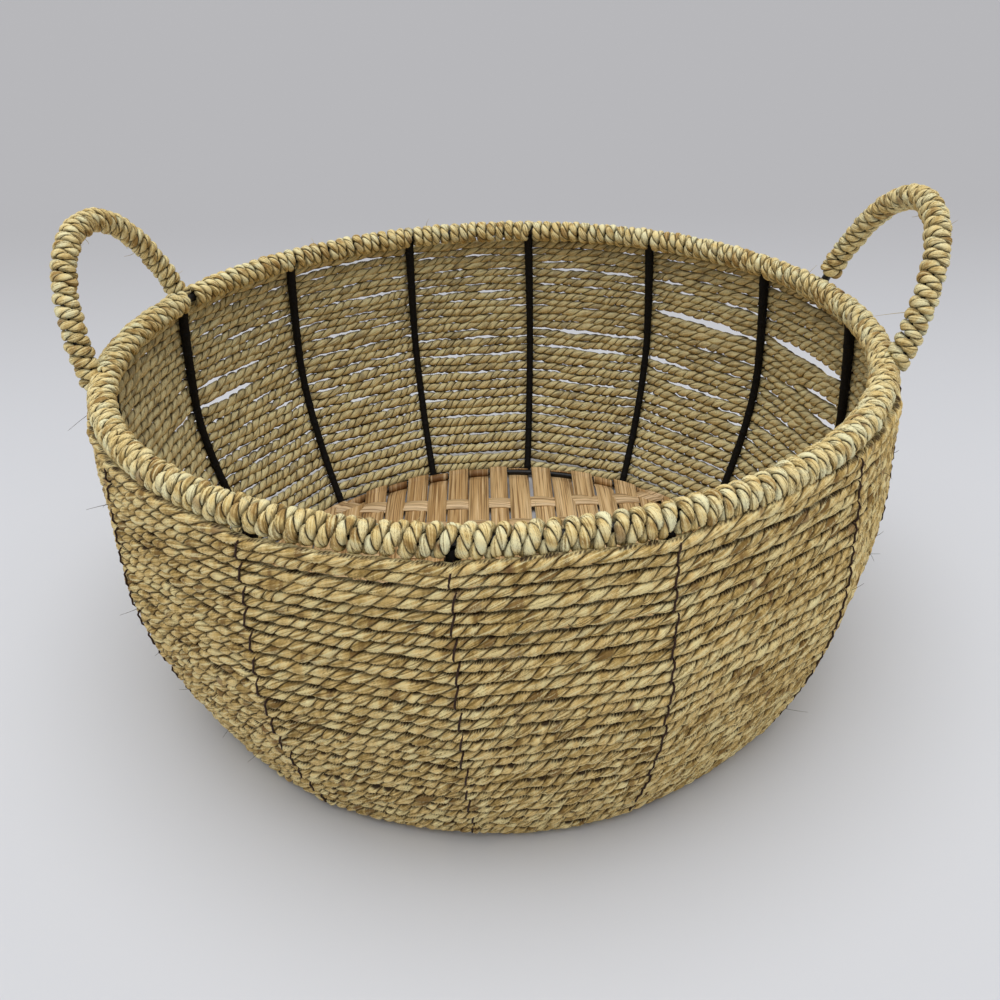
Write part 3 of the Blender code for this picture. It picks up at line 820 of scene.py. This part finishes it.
for name, handle in handles.items():
    whole = handle.length[-1]
    line = handle.along(np.linspace(0, whole, HANDLE_SAMPLES))
    loop = wire(f"handle_{name}_wire", line, HANDLE_WIRE, coated)
    hand_over(loop, f"handle_wire_{name}")

    start = HANDLE_FOOT + HANDLE_BARE[name][0]
    wound = whole - start - HANDLE_FOOT - HANDLE_BARE[name][1]
    turns = round(wound / HANDLE_TURN_PITCH)
    lays = round(turns * LAYS_PER_TURN)

    def loop_centre(share):
        return handle.along(start + wound * share)

    def loop_outward(share):
        here = start + wound * share
        ahead = unit(handle.along(here + HANDLE_LOOK) - handle.along(here - HANDLE_LOOK))
        return np.cross(handle.face, ahead)

    def loop_face(share):
        return np.tile(handle.face, (len(share), 1))

    cords = wound_cord(lays, turns, loop_centre, loop_outward, loop_face, HANDLE_WIRE / 2, HANDLE_CORD,
                       wound / turns, HANDLE_SEEDS[name])
    piece = join_cords(f"handle_{name}_cord", cords, rim_straw)
    hand_over(piece, f"handle_wrap_{name}")


# Floor mat: flat shaved wood strips in a plain weave. Those that run front to back lie close and pass over
# and under wider spaced cross strips. Every other one is folded over the base ring and shows as a tab in
# front of the wall; those between are tucked under it.

STRIP_WIDE = 0.0136
STRIP_PITCH = 0.01435
STRIP_THICK = 0.0007
STRIP_CROWN = 0.0002           # how much higher a strip's middle is than its edges
STRIP_SHIFT = 0.0039           # how far the middle strip lies to the right of the base ring's middle
STRIPS_EACH_SIDE = 12          # more than fit: those past the ring are left out
GAP_STRIP = 2                  # the strips left of this one lie a little further left, so a gap shows
GAP_SHIFT = 0.0018
CROSS_PITCH = 0.0287
CROSS_PLACE = 0.1128           # middle of the cross strip nearest the back, from the base ring's middle
MAT_HEIGHT = 0.0040
MAT_TURN_DEG = 2.35
WEAVE_RISE = 0.75              # how far a strip goes over and under, in shares of its thickness
WEAVE_BLUNT = 1.6              # how flat it lies between
EDGE_LENGTH = 0.010            # the last stretch of a strip, in which it goes to the level of its fold
EDGE_BACK = 0.0042             # how much is left free for the fold
BARE_RING = (-0.002, 0.066)    # between these places the base ring is left bare between the tabs
FOLD_CLEAR = BASE_WIRE / 2 + STRIP_THICK * 0.7
FOLD_DARK = 0.45
TAB_RISE = 0.00204             # how far a tab arches up over the ring
# The fold's start and end round the base ring: a tab over it and down its outside, a tuck under it and up
# its outside, and a roll on over the ring, which hides it. In degrees, 0 outwards and 90 up.
TAB_SWING = (130, -120)
TUCK_SWING = (-130, 100)
ROLL_SWING = (-130, 210)
STRIP_STEPS = 110
FOLD_STEPS = 13

strip_finish = Finish("shaved_strip", roughness=0.55, specular=0.3)
grain = strip_finish.read("grain", "Vector")
lines = strip_finish.noise(strip_finish.stretch(grain, (14.0, 900.0, 1.0)), detail=3.0, roughness=0.6)
broad = strip_finish.noise(strip_finish.stretch(grain, (8.0, 260.0, 1.0)), detail=2.0)
wood = strip_finish.ramp(strip_finish.read("tone") * 0.6 + broad * 0.5,
                         [(0.15, dye(116, 78, 44)), (0.38, dye(190, 152, 101)), (0.62, dye(221, 188, 137)),
                          (1.0, dye(234, 212, 180))])
wood = strip_finish.mix(lines.step(0.52, 0.38) * 0.85, wood, dye(128, 94, 56))
wood = strip_finish.mix(lines.step(0.54, 0.66) * 0.6, wood, dye(240, 212, 168))
strip_finish.colour(wood)
strip_finish.bump(lines, 0.0003)


def fold_profile(tab, rolled):
    """The end of a strip as it meets the base ring, seen from the side: how far past the ring's middle, and
    its level."""
    first, last = TAB_SWING if tab else ROLL_SWING if rolled else TUCK_SWING
    swing = np.radians(np.linspace(first, last, FOLD_STEPS))
    level = BASE_RING_HEIGHT + FOLD_CLEAR * np.sin(swing)
    if tab:
        level = level + TAB_RISE * np.sin(np.linspace(0, math.pi, FOLD_STEPS)) ** 2
    return FOLD_CLEAR * np.cos(swing), level


def add_strip(body, along, across, offset, wide, wave, tab, rolled, tone, seed):
    """Adds one strip of the weave to the body. wave gives its level along it, tab and rolled say how its
    ends are folded."""
    grain_layer = body.verts.layers.float_vector["grain"]
    tone_layer = body.verts.layers.float["tone"]
    past, fold_level = fold_profile(tab, rolled)
    count = STRIP_STEPS + 2 * FOLD_STEPS
    made = bmesh.ops.create_grid(body, x_segments=count - 1, y_segments=2, size=1)
    flat = np.linspace(-1, 1, STRIP_STEPS)
    half = math.sqrt(BASE_RADIUS**2 - offset**2)
    near_edge = np.clip((np.abs(flat) * half - (half - EDGE_LENGTH)) / EDGE_LENGTH, 0, 1)
    level = wave(flat * half) * (1 - near_edge) + fold_level[0] * near_edge
    shares = np.concatenate([-np.ones(FOLD_STEPS), flat, np.ones(FOLD_STEPS)])
    extra = np.concatenate([-past[::-1], -EDGE_BACK * near_edge * np.sign(flat), past])
    levels = np.concatenate([fold_level[::-1], level, fold_level])
    folded = np.linspace(0, 1, FOLD_STEPS)
    dark = np.concatenate([folded[::-1], 0 * flat, folded]) * (0.0 if tab else FOLD_DARK)
    for vert in made["verts"]:
        at = round((vert.co.x + 1) / 2 * (count - 1))
        side = offset + vert.co.y * wide / 2
        reach = math.sqrt(max(BASE_RADIUS**2 - side**2, 0.0))
        run = shares[at] * reach + extra[at]
        crown = STRIP_CROWN * (1 - vert.co.y**2)
        spot = along * run + across * side
        vert.co = (BASE_SHIFT[0] + spot[0], BASE_SHIFT[1] + spot[1], max(levels[at] + crown, STRIP_THICK))
        vert[grain_layer] = (run + seed, side + seed * 0.7, 0)
        vert[tone_layer] = tone - dark[at]


def mat_strips(name, lengthways):
    """All strips that run one way, as one sheet with thickness."""
    body = bmesh.new()
    body.verts.layers.float_vector.new("grain")
    body.verts.layers.float.new("tone")
    turn = math.radians(MAT_TURN_DEG)
    right_way = np.array([math.cos(turn), math.sin(turn)])
    back_way = np.array([-math.sin(turn), math.cos(turn)])
    along, across = (back_way, right_way) if lengthways else (right_way, back_way)
    for number in range(-STRIPS_EACH_SIDE, STRIPS_EACH_SIDE + 1 if lengthways else 1):
        if lengthways:
            offset = STRIP_SHIFT + number * STRIP_PITCH - (GAP_SHIFT if number < GAP_STRIP else 0.0)
        else:
            offset = CROSS_PLACE + number * CROSS_PITCH
        if abs(offset) > BASE_RADIUS - STRIP_WIDE * 0.6:
            continue
        over = 1 if number % 2 else -1
        rolled = not BARE_RING[0] <= offset <= BARE_RING[1]
        wide = STRIP_WIDE * (1.03 - 0.14 * math.sin(number * 1.9 + 1.45) ** 6)

        def wave(run):
            if lengthways:
                beat = np.cos((run - CROSS_PLACE) / CROSS_PITCH * math.pi) * over
            else:
                beat = np.cos(run / STRIP_PITCH * math.pi) * -over
            return MAT_HEIGHT + np.clip(beat * WEAVE_BLUNT, -1, 1) * STRIP_THICK * WEAVE_RISE

        tone = (0.42 if lengthways else 0.80) + 0.16 * math.sin(number * 12.9898)
        add_strip(body, along, across, offset, wide, wave, number % 2 == 0, rolled, tone, number * 1.37)
    mesh = bpy.data.meshes.new(name)
    bmesh.ops.recalc_face_normals(body, faces=body.faces)
    body.to_mesh(mesh)
    body.free()
    mesh.materials.append(strip_finish.made)
    mesh.shade_smooth()
    made = place(name, mesh)
    wall = made.modifiers.new("thickness", "SOLIDIFY")
    wall.thickness = STRIP_THICK
    wall.offset = 0
    return made


for name, lengthways in (("strips_lengthways", True), ("strips_crossways", False)):
    hand_over(mat_strips(name, lengthways), "base_mat")


# Stage: a pale floor that runs on behind the basket, its colour darker towards the back as painted shade,
# plain soft light, and the camera at the photograph's place.

FLOOR_REACH = 40
FLOOR_DROP = 0.0003            # the floor lies this far under the basket, so that no two faces share a place

floor_finish = Finish("pale_floor", roughness=0.9, specular=0.1)
away = floor_finish.node("ShaderNodeSeparateXYZ", {}, {0: floor_finish.object_place()}, out="Y")
# painted shade: the floor's colour darkens towards the back
floor_finish.colour(floor_finish.mix(away.step(-0.1, 0.9), dye(213, 215, 220), dye(177, 177, 180)))
sheet = bpy.data.meshes.new("floor")
ground = bmesh.new()
bmesh.ops.create_grid(ground, x_segments=1, y_segments=1, size=FLOOR_REACH)
ground.to_mesh(sheet)
ground.free()
sheet.materials.append(floor_finish.made)
floor = place("floor", sheet)
floor.location.z = -FLOOR_DROP

world = bpy.data.worlds.new("room_light")
world.use_nodes = True
world.node_tree.nodes["Background"].inputs["Color"].default_value = (1.0, 0.995, 1.0, 1.0)
world.node_tree.nodes["Background"].inputs["Strength"].default_value = 0.49
bpy.context.scene.world = world

lamp = bpy.data.lights.new("overhead", "SUN")
lamp.energy = 1.84
lamp.angle = math.radians(60)
light = place("overhead", lamp)
light.rotation_euler = (math.radians(5), 0, 0)

CAMERA_DISTANCE = 0.6006
CAMERA_TURN_DEG = 2.35
CAMERA_HEIGHT_DEG = 36.677
CAMERA_PAN_DEG = -0.139
CAMERA_TILT_DEG = 5.708
CAMERA_ROLL_DEG = 2.153

height = math.radians(CAMERA_HEIGHT_DEG)
spot = Vector((0, -math.cos(height), math.sin(height))) * CAMERA_DISTANCE
forward = -spot.normalized()
right = Vector((1, 0, 0))
up = right.cross(forward)
pan = Matrix.Rotation(math.radians(CAMERA_PAN_DEG), 3, up)
forward, right = pan @ forward, pan @ right
tilt = Matrix.Rotation(math.radians(CAMERA_TILT_DEG), 3, right)
forward, up = tilt @ forward, tilt @ up
roll = Matrix.Rotation(math.radians(CAMERA_ROLL_DEG), 3, forward)
right, up = roll @ right, roll @ up
turn = Matrix.Rotation(math.radians(CAMERA_TURN_DEG), 3, "Z")
right, up, forward, spot = turn @ right, turn @ up, turn @ forward, turn @ spot

lens = bpy.data.cameras.new("camera")
lens.sensor_width = 36
lens.lens = 35.906
lens.clip_start = 0.01
camera = place("camera", lens)
camera.rotation_mode = "QUATERNION"
camera.matrix_world = Matrix.Translation(spot) @ Matrix((right, up, -forward)).transposed().to_4x4()
bpy.context.scene.camera = camera
bpy.context.scene.view_settings.view_transform = "Standard"
